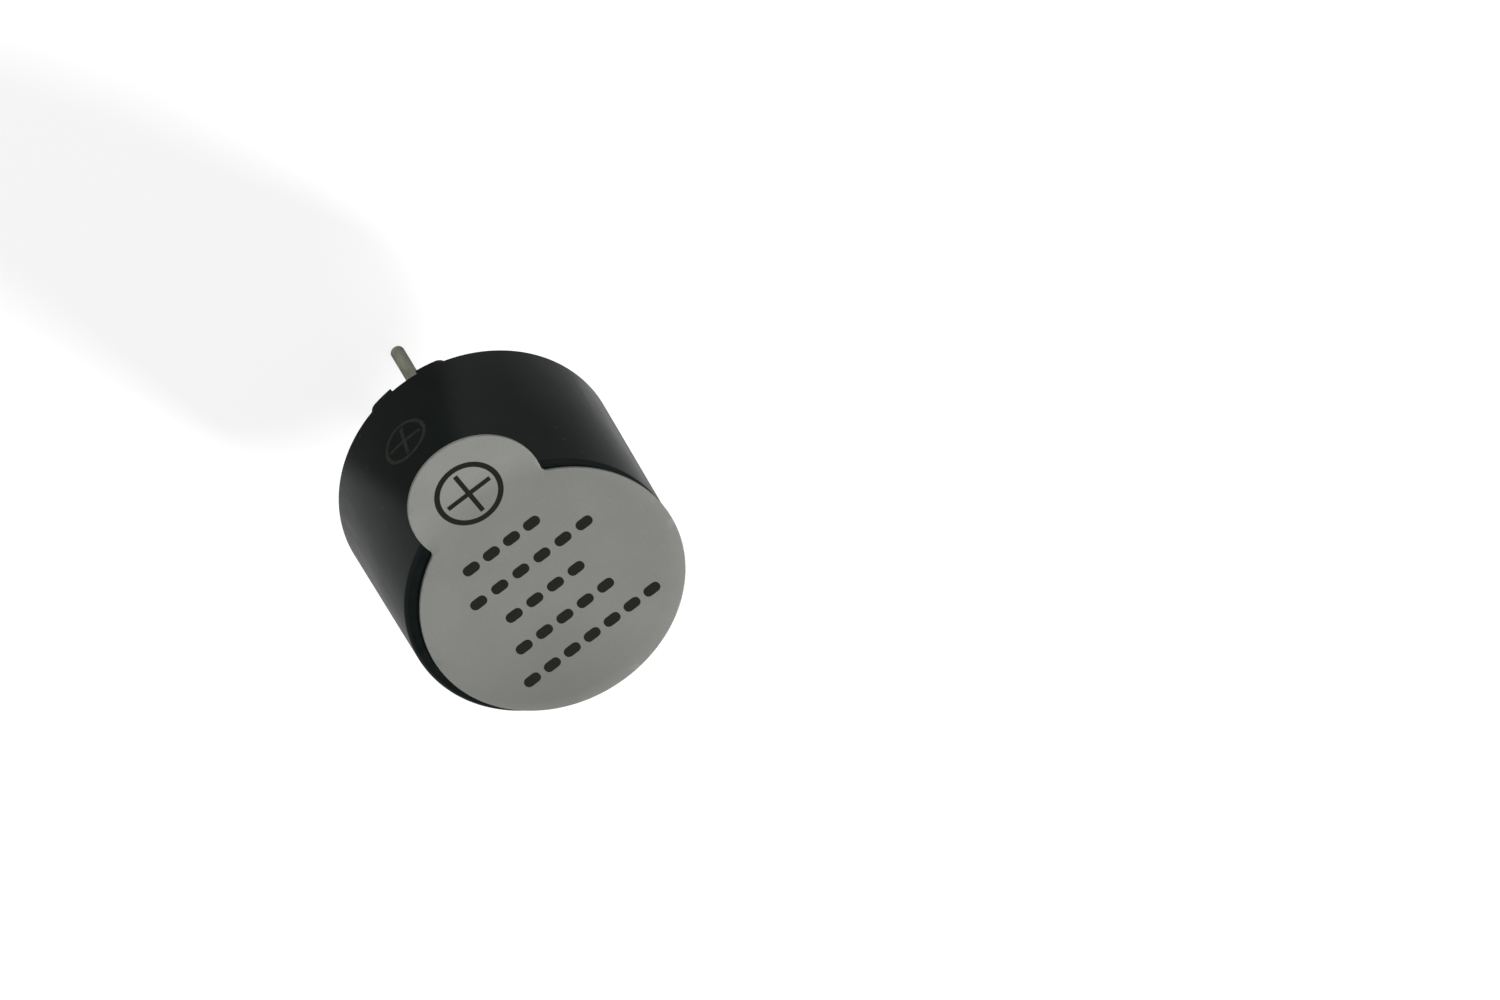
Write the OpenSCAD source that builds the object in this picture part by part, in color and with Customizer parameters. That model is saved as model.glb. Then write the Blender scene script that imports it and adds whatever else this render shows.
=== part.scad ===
// Magnetic buzzer: a round moulded case, 12 mm across, that is soldered to a circuit board.
// The part stands as it does on a board: pins down, sound outlet and seal up.
// Z is the case's own axis, z = 0 is the plane where its feet rest on the board,
// and the positive pin is at +X.

/* [Case] */
// Outside diameter of the case at its rim
case_d = 12; // [11.7:0.1:14]
// Height of the case, from the board to its front face
case_h = 9.5; // [9.3:0.1:12]
// Draft of the side wall, in degrees, narrowing towards the front
case_draft = 1; // [0:0.25:2]
// Thickness of the side wall at the rim
case_wall = 0.55; // [0.45:0.05:0.7]
// Thickness of the front wall
front_t = 0.7; // [0.4:0.1:1]
// Rounding of the front edge
front_edge_r = 0.2; // [0.1:0.05:0.3]
// Width of the step in the bore that the support ring is pushed against
step_w = 0.45; // [0.4:0.05:0.6]
// Height of the sound chamber in front of the step
chamber_h = 1.7; // [1:0.1:2]
// Diameter of the sound outlet in the front wall
outlet_d = 2.2; // [1:0.1:4]

/* [Feet] */
// Height of the feet that hold the rim clear of the board
foot_h = 0.25; // [0.1:0.05:0.4]
// Width of a foot across the rim
foot_w = 0.92; // [0.7:0.02:1.1]
// How far up the bore a foot's root reaches
foot_root = 1.3; // [0.8:0.1:1.5]
// Direction of the middle of the first plain foot, in degrees from the positive pin
first_foot_dir = 115; // [100:1:130]
// Direction of the middle of the second plain foot
second_foot_dir = 235; // [220:1:250]
// Length of each plain foot, in degrees of the rim
foot_span = 36; // [20:1:50]
// Direction of the middle of the notched foot beside the positive pin
mark_foot_dir = 3; // [-5:1:10]
// Length of the notched foot, in degrees of the rim
mark_foot_span = 39; // [30:1:44]
// Length of the notch that marks the positive pin, in degrees of the rim
mark_notch_span = 12; // [6:1:16]

/* [Seal] */
// Diameter of the round part of the seal
seal_d = 11.24; // [10:0.02:12]
// Thickness of the seal's film and glue
seal_t = 0.12; // [0.06:0.02:0.3]
// Radius of the pull tab's round end
tab_r = 2.88; // [2:0.02:3.5]
// Distance from the middle of the seal to the middle of the tab
tab_reach = 5.76; // [5:0.02:6.5]
// Radius of the hollow corners between the tab and the round part
tab_fillet_r = 0.3; // [0.2:0.1:1.5]
// How far the seal was stuck from the middle of the face, along X
seal_shift_x = -0.31; // [-0.4:0.01:0.4]
// How far the seal was stuck from the middle of the face, along Y
seal_shift_y = -0.26; // [-0.4:0.01:0.4]
// Angle by which the seal was stuck askew of the positive pin
seal_turn = 5; // [-10:1:10]

/* [Pins] */
// Distance between the middles of the two pins
pin_pitch = 7.6; // [6.6:0.1:8]
// Diameter of a pin
pin_d = 0.6; // [0.45:0.05:0.7]
// Length of the positive pin below the board plane
pin_long = 5.3; // [3:0.1:8]
// Length of the negative pin below the board plane
pin_short = 4.2; // [2.5:0.1:7]
// Chamfer round the cut end of a pin
pin_chamfer = 0.06; // [0.02:0.02:0.1]
// How much thicker each side the pin's stem is, from the board down to the potting's surface
stem_step = 0.2; // [0.18:0.02:0.26]

/* [Sounder] */
// Thickness of the diaphragm
diaphragm_t = 0.08; // [0.05:0.01:0.15]
// Diameter of the weight on the diaphragm
weight_d = 3.8; // [2:0.1:6]
// Thickness of the weight on the diaphragm
weight_t = 0.5; // [0.3:0.1:0.8]
// Thickness of the support ring's lip round the diaphragm
ring_lip_w = 0.25; // [0.15:0.05:0.3]
// Height of the lip above the diaphragm's seat
ring_lip_h = 0.2; // [0.18:0.02:0.3]
// Width of the seat that the diaphragm lies on
seat_w = 0.35; // [0.2:0.05:0.5]
// Height of the support ring from the yoke to the diaphragm's seat
ring_seat_h = 2.9; // [2.7:0.1:3.2]
// Gap between the core's end and the diaphragm
air_gap = 0.25; // [0.15:0.05:0.35]
// Width of the ring magnet, from its hole to its outside
magnet_w = 1.3; // [0.8:0.1:1.4]
// Height of the ring magnet
magnet_h = 2.3; // [1.6:0.1:2.5]
// Thickness of the yoke plate
yoke_t = 0.8; // [0.5:0.1:1]

/* [Coil] */
// Diameter of the iron core
core_d = 2.2; // [1.8:0.1:2.3]
// Thickness of the insulating sleeve on the core
sleeve_t = 0.1; // [0.05:0.05:0.15]
// Thickness of the insulating washer under the coil
washer_t = 0.15; // [0.1:0.05:0.2]
// Thickness of the drive winding, from its inside to its outside
drive_build = 1; // [0.6:0.05:1.05]
// Thickness of the feedback winding round it
feedback_build = 0.45; // [0.2:0.05:0.5]
// Height of the drive winding
drive_h = 2.05; // [1.6:0.05:2.1]
// Diameter of the enamelled wire
wire_d = 0.12; // [0.08:0.01:0.14]
// Gap between the coil and the leads that run down beside it
lead_gap = 0.33; // [0.25:0.01:0.36]

/* [Board] */
// Thickness of the round circuit board
board_t = 0.8; // [0.5:0.1:1]
// Thickness of the copper on the board
copper_t = 0.035; // [0.02:0.005:0.07]
// Width of a copper track
track_w = 0.4; // [0.2:0.05:0.5]
// Gap between the rim and the potting below it
potting_drop = 0.25; // [0.1:0.05:0.35]

/* [Hidden] */
$fn = 96;

cut = 0.01;                  // how far a cutting shape reaches past the face it cuts
slide_gap = 0.05;            // clearance of the plates and the diaphragm in their seats
small_fn = 32;               // facets round a wire, a hole or a spot of solder
ring_gap = 0.1;              // clearance of the support ring in the bore
magnet_gap = 0.15;           // clearance of the magnet in the support ring

// Case, from the rim up
case_r = case_d / 2;
bore_r = case_r - case_wall;
chamber_r = bore_r - step_w;
rim_z = foot_h;
chamber_top_z = case_h - front_t;
step_z = chamber_top_z - chamber_h;
rim_chamfer = 0.08;
foot_inset = 0.02;           // how far a foot's outside lies in from the side wall
foot_bite = 0.05;            // how far a foot's top and root reach past each other, and into the rim
root_bite = 0.1;             // how far a foot's root reaches into the wall
root_short = 3;              // degrees by which the root is shorter than the foot
chamber_corner_r = 0.3;
function case_r_at(z) = case_r - (z - rim_z) * tan(case_draft);

// Support ring and what it carries, hung from the step in the bore
ring_r = bore_r - ring_gap;
lip_r = ring_r - ring_lip_w;
diaphragm_r = lip_r - slide_gap;
ring_bore_r = lip_r - seat_w;
seat_z = step_z - ring_lip_h;
yoke_top_z = seat_z - ring_seat_h;
yoke_z = yoke_top_z - yoke_t;
yoke_r = bore_r - slide_gap;
magnet_r = ring_bore_r - magnet_gap;
magnet_bore_r = magnet_r - magnet_w;

// Coil, on the core
core_r = core_d / 2;
core_top_z = seat_z - air_gap;
sleeve_r = core_r + sleeve_t;
sleeve_over = 0.1;           // how far the sleeve stands past the coil
coil_z = yoke_top_z + washer_t;
drive_r = sleeve_r + drive_build;
coil_r = drive_r + feedback_build;
lead_room = 0.3;             // free height under the feedback winding for the inner leads
feedback_z = coil_z + lead_room;
feedback_turns = floor((drive_h - lead_room - wire_d) / wire_d);
feedback_h = feedback_turns * wire_d;
lead_circle_r = coil_r + lead_gap;
sleeve_h = washer_t + drive_h + sleeve_over;
lead_dirs = [65, 295];       // the drive winding's two leads
feedback_lead_dirs = [115, 245];
all_lead_dirs = concat(lead_dirs, feedback_lead_dirs);
lead_hole_r = 0.25;
lead_end = 0.2;              // how far a lead reaches past the copper, inside its solder

// Circuit board, under the yoke
board_r = bore_r - ring_gap;
board_z = yoke_z - board_t;
copper_z = board_z - copper_t;
pin_r = pin_d / 2;
pin_x = pin_pitch / 2;
pin_xs = [-pin_x, pin_x];
pin_hole_gap = 0.15;         // between a pin and the plated hole, filled with solder
pin_hole_r = pin_r + pin_hole_gap;
pin_yoke_gap = 0.1;          // between a pin's end and the yoke above it
pin_top_z = yoke_z - pin_yoke_gap;
stem_r = pin_r + stem_step;
stem_solder_t = 0.05;        // solder between a stem's shoulder and the pad
stem_top_z = copper_z - stem_solder_t;
pad_margin = 0.08;           // bare copper round a pin's solder
pin_solder_w = 0.22;         // how far that solder flares out on the pad
pin_pad_r = stem_r + pin_solder_w + pad_margin;
lead_pad_r = 0.42;

// Transistor, in a small three-legged moulded package, long side along Y
transistor_size = [1.3, 2.9, 0.95];
transistor_lift = 0.1;       // gap between its body and the board
transistor_leg_w = 0.4;
transistor_leg_t = 0.13;
transistor_reach = 1.2;      // from its middle to the tip of a leg
transistor_pitch = 1.9;      // between the two legs on one side
transistor_pad = [0.75, 0.7];
transistor_pad_in = 0.15;    // from a leg's tip in to the middle of its pad
transistor_taper = 0.08;     // draft of the moulded body's long sides
transistor_bend = 0.2;       // length of a leg before it bends down

// Chip resistor, long side along X
resistor_size = [1.6, 0.8, 0.45];
resistor_y = 4.05;
resistor_cap_l = 0.3;
resistor_cap_t = 0.02;
resistor_pad = [0.7, 0.9];
resistor_wet = 0.3;          // height that the solder climbs a cap

// Solder
solder_end = 0.25;           // length of the solder in front of a leg or cap
pin_solder_h = 0.6;          // how far it climbs a pin's stem
lead_solder_r = 0.32;
lead_solder_h = 0.3;

// Potting
potting_z = rim_z + potting_drop;
potting_creep = 0.16;        // how far the resin climbs the wall as it wets it
potting_creep_w = 0.7;
pin_creep = 0.3;             // how far it climbs a pin
pin_creep_w = 0.75;
pour_lap = 0.1;              // overlap of the level resin and the collar round a pin
stem_cover = 0.1;            // resin over the end of a pin's stem
stem_z = potting_z - pin_creep * pow(1 - stem_step / pin_creep_w, 2) + stem_cover;

// Points of a quarter hollow or round from angle a to angle b about [x, y]
function arc(x, y, r, a, b, steps = 10) =
    [for (i = [0 : steps]) let (t = a + (b - a) * i / steps) [x + r * cos(t), y + r * sin(t)]];

// Points of the hollow that a liquid draws up a wall: height h at the wall, none at distance w
function creep(w, h, steps = 6) = [for (i = [0 : steps]) let (t = i / steps) [w * t, h * pow(1 - t, 2)]];

// Puts a child at each direction in dirs, at radius r
module around(dirs, r) {
    for (d = dirs) rotate([0, 0, d]) translate([r, 0, 0]) children();
}

// Pie slice that reaches past the rim, centred on direction dir
module rim_sector(dir, span) {
    reach = 2 * case_r;
    polygon([[0, 0], for (k = [-0.5, 0, 0.5]) reach * [cos(dir + k * span), sin(dir + k * span)]]);
}

// Round-ended strip of the rim between two radii, centred on direction dir
module rim_strip(r_in, r_out, dir, span) {
    end_r = (r_out - r_in) / 2;
    mid_r = (r_out + r_in) / 2;
    half = span / 2 - end_r / mid_r * 180 / PI;
    intersection() {
        difference() {
            circle(r_out);
            circle(r_in);
        }
        rim_sector(dir, 2 * half);
    }
    for (k = [-1, 1]) rotate(dir + k * half) translate([mid_r, 0]) circle(end_r);
}

// A foot: its top stands on the board, its root runs up the bore, and a notch may part its top
module foot(dir, span, notch = 0) {
    foot_r = case_r - foot_inset;
    linear_extrude(rim_z + rim_chamfer + foot_bite) difference() {
        rim_strip(foot_r - foot_w, foot_r, dir, span);
        if (notch > 0) rim_sector(dir, notch);
    }
    translate([0, 0, rim_z]) linear_extrude(foot_root - rim_z)
        rim_strip(foot_r - foot_w + foot_bite, bore_r + root_bite, dir, span - root_short);
}

module feet() {
    for (dir = [first_foot_dir, second_foot_dir]) foot(dir, foot_span);
    foot(mark_foot_dir, mark_foot_span, mark_notch_span);
}

module case_shell() {
    top_r = case_r_at(case_h);
    rotate_extrude() polygon(concat(
        [[bore_r + rim_chamfer, rim_z],
         [case_r - rim_chamfer, rim_z],
         [case_r_at(rim_z + rim_chamfer), rim_z + rim_chamfer]],
        arc(top_r - front_edge_r, case_h - front_edge_r, front_edge_r, -case_draft, 90, 8),
        [[outlet_d / 2, case_h],
         [outlet_d / 2, chamber_top_z]],
        arc(chamber_r - chamber_corner_r, chamber_top_z - chamber_corner_r, chamber_corner_r, 90, 0, 6),
        [[chamber_r, step_z],
         [bore_r, step_z],
         [bore_r, rim_z + rim_chamfer]]));
}

module case() {
    color([0.09, 0.1, 0.1]) {
        case_shell();
        feet();
    }
}

// Film with a pull tab, stuck over the sound outlet and a little askew, as a worker leaves it
module seal_label() {
    seal_r = seal_d / 2;
    near = seal_r + tab_fillet_r;
    far = tab_r + tab_fillet_r;
    along = (near * near - far * far + tab_reach * tab_reach) / (2 * tab_reach);
    aside = sqrt(near * near - along * along);
    color([0.57, 0.57, 0.55]) translate([seal_shift_x, seal_shift_y, case_h]) rotate([0, 0, seal_turn])
        linear_extrude(seal_t) {
            circle(seal_r);
            translate([tab_reach, 0]) circle(tab_r);
            difference() {
                polygon([[0, 0], [along, -aside], [tab_reach, 0], [along, aside]]);
                for (side = [-1, 1]) translate([along, side * aside]) circle(tab_fillet_r);
            }
        }
}

// Thin spring-iron disc that the ring magnet holds on its seat
module diaphragm() {
    color([0.66, 0.67, 0.69]) translate([0, 0, seat_z]) cylinder(r = diaphragm_r, h = diaphragm_t);
}

// Small disc spot-welded to the diaphragm, which sets its note
module diaphragm_weight() {
    edge = 0.08;
    color([0.56, 0.57, 0.58]) translate([0, 0, seat_z + diaphragm_t]) rotate_extrude()
        polygon([[0, 0], [weight_d / 2, 0], [weight_d / 2, weight_t - edge],
                 [weight_d / 2 - edge, weight_t], [0, weight_t]]);
}

// Turned spacer that stands on the yoke and carries the diaphragm's edge
module support_ring() {
    color([0.72, 0.73, 0.74]) rotate_extrude()
        polygon([[ring_bore_r, yoke_top_z], [ring_r, yoke_top_z], [ring_r, step_z], [lip_r, step_z],
                 [lip_r, seat_z], [ring_bore_r, seat_z]]);
}

module magnet_ring() {
    edge = 0.12;
    top_z = yoke_top_z + magnet_h;
    color([0.2, 0.2, 0.21]) rotate_extrude()
        polygon([[magnet_bore_r, yoke_top_z], [magnet_r, yoke_top_z], [magnet_r, top_z - edge],
                 [magnet_r - edge, top_z], [magnet_bore_r + edge, top_z], [magnet_bore_r, top_z - edge]]);
}

// Stamped iron plate with the core riveted in it and four holes for the coil's leads
module yoke_plate() {
    color([0.6, 0.6, 0.58]) difference() {
        translate([0, 0, yoke_z]) cylinder(r = yoke_r, h = yoke_t);
        translate([0, 0, yoke_z - cut]) cylinder(r = core_r, h = yoke_t + 2 * cut);
        around(all_lead_dirs, lead_circle_r)
            translate([0, 0, yoke_z - cut]) cylinder(r = lead_hole_r, h = yoke_t + 2 * cut, $fn = small_fn);
    }
}

module pole_core() {
    edge = 0.1;
    color([0.62, 0.62, 0.6]) rotate_extrude()
        polygon([[0, yoke_z], [core_r, yoke_z], [core_r, core_top_z - edge],
                 [core_r - edge, core_top_z], [0, core_top_z]]);
}

module core_sleeve() {
    color([0.85, 0.78, 0.5]) translate([0, 0, yoke_top_z]) difference() {
        cylinder(r = sleeve_r, h = sleeve_h);
        translate([0, 0, -cut]) cylinder(r = core_r, h = sleeve_h + 2 * cut);
    }
}

module coil_washer() {
    color([0.9, 0.88, 0.8]) translate([0, 0, yoke_top_z]) difference() {
        cylinder(r = coil_r, h = washer_t);
        translate([0, 0, -cut]) cylinder(r = sleeve_r, h = washer_t + 2 * cut);
    }
}

// A wire end: out of the winding at radius from_r and height z, then down to its solder
module lead(dir, from_r, z) {
    wire_r = wire_d / 2;
    end_z = copper_z - lead_end;
    rotate([0, 0, dir]) {
        translate([from_r, 0, z]) rotate([0, 90, 0])
            cylinder(r = wire_r, h = lead_circle_r - from_r, $fn = small_fn);
        translate([lead_circle_r, 0, z]) sphere(wire_r, $fn = small_fn);
        translate([lead_circle_r, 0, end_z]) cylinder(r = wire_r, h = z - end_z, $fn = small_fn);
    }
}

module drive_winding() {
    round_r = 0.12;
    top_z = coil_z + drive_h;
    color([0.72, 0.38, 0.16]) {
        rotate_extrude() polygon(concat(
            [[sleeve_r, coil_z], [drive_r, coil_z]],
            arc(drive_r - round_r, top_z - round_r, round_r, 0, 90, 6),
            [[sleeve_r, top_z]]));
        for (dir = lead_dirs) lead(dir, drive_r - wire_d, coil_z + lead_room / 2);
    }
}

// Outer winding: its turns show as a stack of half-round ribs
module feedback_winding() {
    wire_r = wire_d / 2;
    color([0.8, 0.3, 0.14]) {
        rotate_extrude() polygon(concat(
            [[drive_r, feedback_z]],
            [for (i = [0 : feedback_turns - 1]) each
                arc(coil_r - wire_r, feedback_z + (i + 0.5) * wire_d, wire_r, -90, 90, 4)],
            [[drive_r, feedback_z + feedback_h]]));
        for (dir = feedback_lead_dirs) lead(dir, coil_r - 1.5 * wire_d, feedback_z + 1.5 * wire_d);
    }
}

module circuit_board() {
    color([0.16, 0.34, 0.2]) translate([0, 0, board_z]) difference() {
        cylinder(r = board_r, h = board_t);
        for (x = pin_xs) translate([x, 0, -cut])
            cylinder(r = pin_hole_r, h = board_t + 2 * cut, $fn = small_fn);
        around(all_lead_dirs, lead_circle_r) translate([0, 0, -cut])
            cylinder(r = lead_hole_r, h = board_t + 2 * cut, $fn = small_fn);
    }
}

// Straight copper track of width track_w between two points
module track(from, to) {
    run = to - from;
    translate(from) rotate(atan2(run[1], run[0])) translate([0, -track_w / 2]) square([norm(run), track_w]);
}

// Outline of the copper on the underside: pads, and the tracks that join them
module copper_outline() {
    foot_x = transistor_reach - transistor_pad_in;
    leg_y = transistor_pitch / 2;
    cap_x = resistor_size[0] / 2;
    drive_in = lead_circle_r * [cos(lead_dirs[0]), sin(lead_dirs[0])];
    drive_out = lead_circle_r * [cos(lead_dirs[1]), sin(lead_dirs[1])];
    sense_in = lead_circle_r * [cos(feedback_lead_dirs[0]), sin(feedback_lead_dirs[0])];
    sense_out = lead_circle_r * [cos(feedback_lead_dirs[1]), sin(feedback_lead_dirs[1])];
    for (side = [-1, 1]) {
        translate([side * pin_x, 0]) circle(pin_pad_r);
        translate([side * cap_x, resistor_y]) square(resistor_pad, center = true);
        translate([-foot_x, side * leg_y]) square(transistor_pad, center = true);
    }
    translate([foot_x, 0]) square(transistor_pad, center = true);
    around(all_lead_dirs, lead_circle_r) circle(lead_pad_r);
    track([pin_x, 0], drive_in);
    track(drive_in, [cap_x, resistor_y]);
    track([-cap_x, resistor_y], sense_in);
    track(sense_out, [-foot_x, -leg_y]);
    track(drive_out, [foot_x, 0]);
    track([-foot_x, leg_y], [-pin_x, 0]);
}

module board_tracks() {
    color([0.78, 0.5, 0.28]) translate([0, 0, copper_z]) linear_extrude(copper_t) difference() {
        copper_outline();
        for (x = pin_xs) translate([x, 0]) circle(pin_hole_r, $fn = small_fn);
        around(all_lead_dirs, lead_circle_r) circle(wire_d / 2, $fn = small_fn);
    }
}

module transistor_body() {
    size = transistor_size;
    wide = size[0] / 2;
    narrow = wide - transistor_taper;
    top_z = board_z - transistor_lift;
    mid_z = top_z - size[2] / 2;
    color([0.13, 0.13, 0.14]) translate([0, size[1] / 2, 0]) rotate([90, 0, 0]) linear_extrude(size[1])
        polygon([[-narrow, top_z], [-wide, mid_z], [-narrow, top_z - size[2]],
                 [narrow, top_z - size[2]], [wide, mid_z], [narrow, top_z]]);
}

// One bent leg, from the body's side at +X down to its pad
module transistor_leg(y) {
    body_x = transistor_size[0] / 2;
    mid_z = board_z - transistor_lift - transistor_size[2] / 2;
    t = transistor_leg_t;
    bend_x = body_x + transistor_bend;
    slope = transistor_taper / (transistor_size[2] / 2);
    translate([0, y + transistor_leg_w / 2, 0]) rotate([90, 0, 0]) linear_extrude(transistor_leg_w)
        polygon([[body_x - slope * t, mid_z + t], [body_x, mid_z], [bend_x + t, mid_z],
                 [bend_x + t, copper_z - t], [transistor_reach, copper_z - t],
                 [transistor_reach, copper_z], [bend_x, copper_z], [bend_x, mid_z + t]]);
}

module transistor_leads() {
    color([0.76, 0.76, 0.74]) {
        transistor_leg(0);
        rotate([0, 0, 180]) for (side = [-1, 1]) transistor_leg(side * transistor_pitch / 2);
    }
}

module resistor_core() {
    size = [for (side = resistor_size) side - 2 * resistor_cap_t];
    translate([0, resistor_y, copper_z - resistor_size[2] / 2]) cube(size, center = true);
}

module resistor_body() {
    color([0.12, 0.12, 0.14]) resistor_core();
}

module resistor_caps() {
    size = resistor_size;
    cap_x = (size[0] - resistor_cap_l) / 2;
    color([0.8, 0.8, 0.79]) difference() {
        for (x = [-cap_x, cap_x]) translate([x, resistor_y, copper_z - size[2] / 2])
            cube([resistor_cap_l, size[1], size[2]], center = true);
        resistor_core();
    }
}

// Solder wedge of width w that runs out along +X from a face of height h at x = 0
module solder_wedge(w, h) {
    translate([0, w / 2, copper_z]) rotate([90, 0, 0]) linear_extrude(w)
        polygon(concat([[0, 0]], creep(solder_end, -h, 4)));
}

module component_solder() {
    leg_y = transistor_pitch / 2;
    color([0.74, 0.75, 0.76]) {
        translate([transistor_reach, 0, 0]) solder_wedge(transistor_leg_w, transistor_leg_t);
        rotate([0, 0, 180]) for (side = [-1, 1])
            translate([transistor_reach, side * leg_y, 0]) solder_wedge(transistor_leg_w, transistor_leg_t);
        translate([0, resistor_y, 0]) for (turn = [0, 180]) rotate([0, 0, turn])
            translate([resistor_size[0] / 2, 0, 0]) solder_wedge(resistor_size[1], resistor_wet);
    }
}

// Drops of solder that close over the leads' ends
module winding_solder() {
    drop = [for (a = [90 : -15 : 0]) [lead_solder_r * cos(a), -lead_solder_h * sin(a)]];
    color([0.74, 0.75, 0.76]) around(all_lead_dirs, lead_circle_r) translate([0, 0, copper_z])
        rotate_extrude($fn = small_fn)
            polygon(concat([[wire_d / 2, 0], [wire_d / 2, -lead_end], [0, -lead_end]], drop));
}

// Straight tinned pin with a chamfered end, reaching length below the board plane.
// Inside the potting it has a thicker stem, whose shoulder stands on the board's pad.
module pin(length) {
    c = pin_chamfer;
    rotate_extrude($fn = 2 * small_fn)
        polygon([[0, -length], [pin_r - c, -length], [pin_r, c - length], [pin_r, stem_z],
                 [stem_r, stem_z], [stem_r, stem_top_z], [pin_r, stem_top_z],
                 [pin_r, pin_top_z], [0, pin_top_z]]);
}

module positive_pin() {
    color([0.55, 0.54, 0.49]) translate([pin_x, 0, 0]) pin(pin_long);
}

module negative_pin() {
    color([0.55, 0.54, 0.49]) translate([-pin_x, 0, 0]) pin(pin_short);
}

// Solder that fills the plated hole, lies under the stem's shoulder and flares out on the pad
module pin_solder() {
    rotate_extrude($fn = 2 * small_fn) polygon(concat(
        [[pin_r, pin_top_z], [pin_r, stem_top_z], [stem_r, stem_top_z]],
        [for (p = creep(pin_solder_w, pin_solder_h)) [stem_r + p[0], copper_z - p[1]]],
        [[pin_hole_r, copper_z], [pin_hole_r, pin_top_z]]));
}

module positive_pin_solder() {
    color([0.74, 0.75, 0.76]) translate([pin_x, 0, 0]) pin_solder();
}

module negative_pin_solder() {
    color([0.74, 0.75, 0.76]) translate([-pin_x, 0, 0]) pin_solder();
}

// Resin as it was poured: level, but drawn up the wall and the pins where it wets them
module potting_pour() {
    rotate_extrude() polygon(concat(
        [[0, potting_z], [0, board_z], [bore_r, board_z]],
        [for (p = creep(potting_creep_w, potting_creep)) [bore_r - p[0], potting_z - p[1]]]));
    for (x = pin_xs) translate([x, 0, 0]) rotate_extrude($fn = 2 * small_fn) polygon(concat(
        [[pin_r + pin_creep_w, potting_z + pour_lap], [0, potting_z + pour_lap], [0, potting_z - pin_creep]],
        [for (p = creep(pin_creep_w, pin_creep)) [pin_r + p[0], potting_z - p[1]]]));
}

module potting() {
    color([0.05, 0.055, 0.055]) difference() {
        potting_pour();
        feet();
        positive_pin();
        negative_pin();
        positive_pin_solder();
        negative_pin_solder();
        translate([0, 0, copper_z]) linear_extrude(copper_t) copper_outline();
        winding_solder();
        component_solder();
        transistor_leads();
        transistor_body();
        resistor_caps();
        resistor_body();
        for (dir = all_lead_dirs) lead(dir, lead_circle_r, yoke_z);
    }
}

case();
seal_label();
diaphragm();
diaphragm_weight();
support_ring();
magnet_ring();
yoke_plate();
pole_core();
core_sleeve();
coil_washer();
drive_winding();
feedback_winding();
circuit_board();
board_tracks();
transistor_body();
transistor_leads();
resistor_body();
resistor_caps();
component_solder();
winding_solder();
positive_pin();
negative_pin();
positive_pin_solder();
negative_pin_solder();
potting();
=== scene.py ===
import math

import bmesh
import bpy
from mathutils import Matrix, Vector, noise


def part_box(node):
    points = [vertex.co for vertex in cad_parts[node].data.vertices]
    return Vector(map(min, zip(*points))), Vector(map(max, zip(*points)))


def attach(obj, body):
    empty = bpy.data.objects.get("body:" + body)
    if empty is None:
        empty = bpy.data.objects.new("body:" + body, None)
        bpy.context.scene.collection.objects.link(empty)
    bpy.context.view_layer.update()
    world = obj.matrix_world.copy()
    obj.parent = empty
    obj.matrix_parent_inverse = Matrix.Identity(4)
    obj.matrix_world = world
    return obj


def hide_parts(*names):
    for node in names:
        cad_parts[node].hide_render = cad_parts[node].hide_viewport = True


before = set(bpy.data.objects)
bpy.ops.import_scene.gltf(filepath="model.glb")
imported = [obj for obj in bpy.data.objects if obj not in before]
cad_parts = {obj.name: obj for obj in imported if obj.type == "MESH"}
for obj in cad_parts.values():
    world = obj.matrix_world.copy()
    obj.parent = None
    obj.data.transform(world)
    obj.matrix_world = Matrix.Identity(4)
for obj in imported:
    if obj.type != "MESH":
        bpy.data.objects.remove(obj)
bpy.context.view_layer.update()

# Moulded case
# One cup of black glass-filled polyester, injection moulded with a degree of draft. It is stepped
# inside for the sounder, has the sound outlet in its front, and stands on three feet on its rim.
MM = 0.001
case_low, case_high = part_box("case")
case_r = min(case_high.y, -case_low.x) / MM
case_h = case_high.z / MM
bore_r = 5.45
chamber_r = 5.0
outlet_r = 1.1
outlet_edge = 0.05
rim_z = 0.25
step_z = 7.1
chamber_top_z = 8.8
chamber_edge_r = 0.3
draft = 1
front_edge_r = 0.2
rim_edge_r = 0.08
foot_out_r = case_r - 0.02
foot_in_r = 5.06
foot_edge_r = 0.05
foot_top_z = 0.38
root_in_r = 5.11
root_out_r = 5.6
root_low_z = rim_z - 0.003
root_top_z = 1.3


def arc(x, y, r, start, end, steps):
    """Points on an arc about x, y, from the angle start to the angle end, both in degrees"""
    angles = [math.radians(start + (end - start) * i / steps) for i in range(steps + 1)]
    return [(x + r * math.cos(a), y + r * math.sin(a)) for a in angles]


def keep(name, mesh):
    """An object of that name for a mesh"""
    piece = bpy.data.objects.new(name, mesh)
    bpy.context.scene.collection.objects.link(piece)
    return piece


def set_mesh(piece):
    """Takes what the piece's modifiers make as its own mesh, and removes them"""
    bpy.context.view_layer.update()
    shown = piece.evaluated_get(bpy.context.evaluated_depsgraph_get())
    mesh = bpy.data.meshes.new_from_object(shown)
    piece.modifiers.clear()
    piece.data = mesh
    return piece


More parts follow.
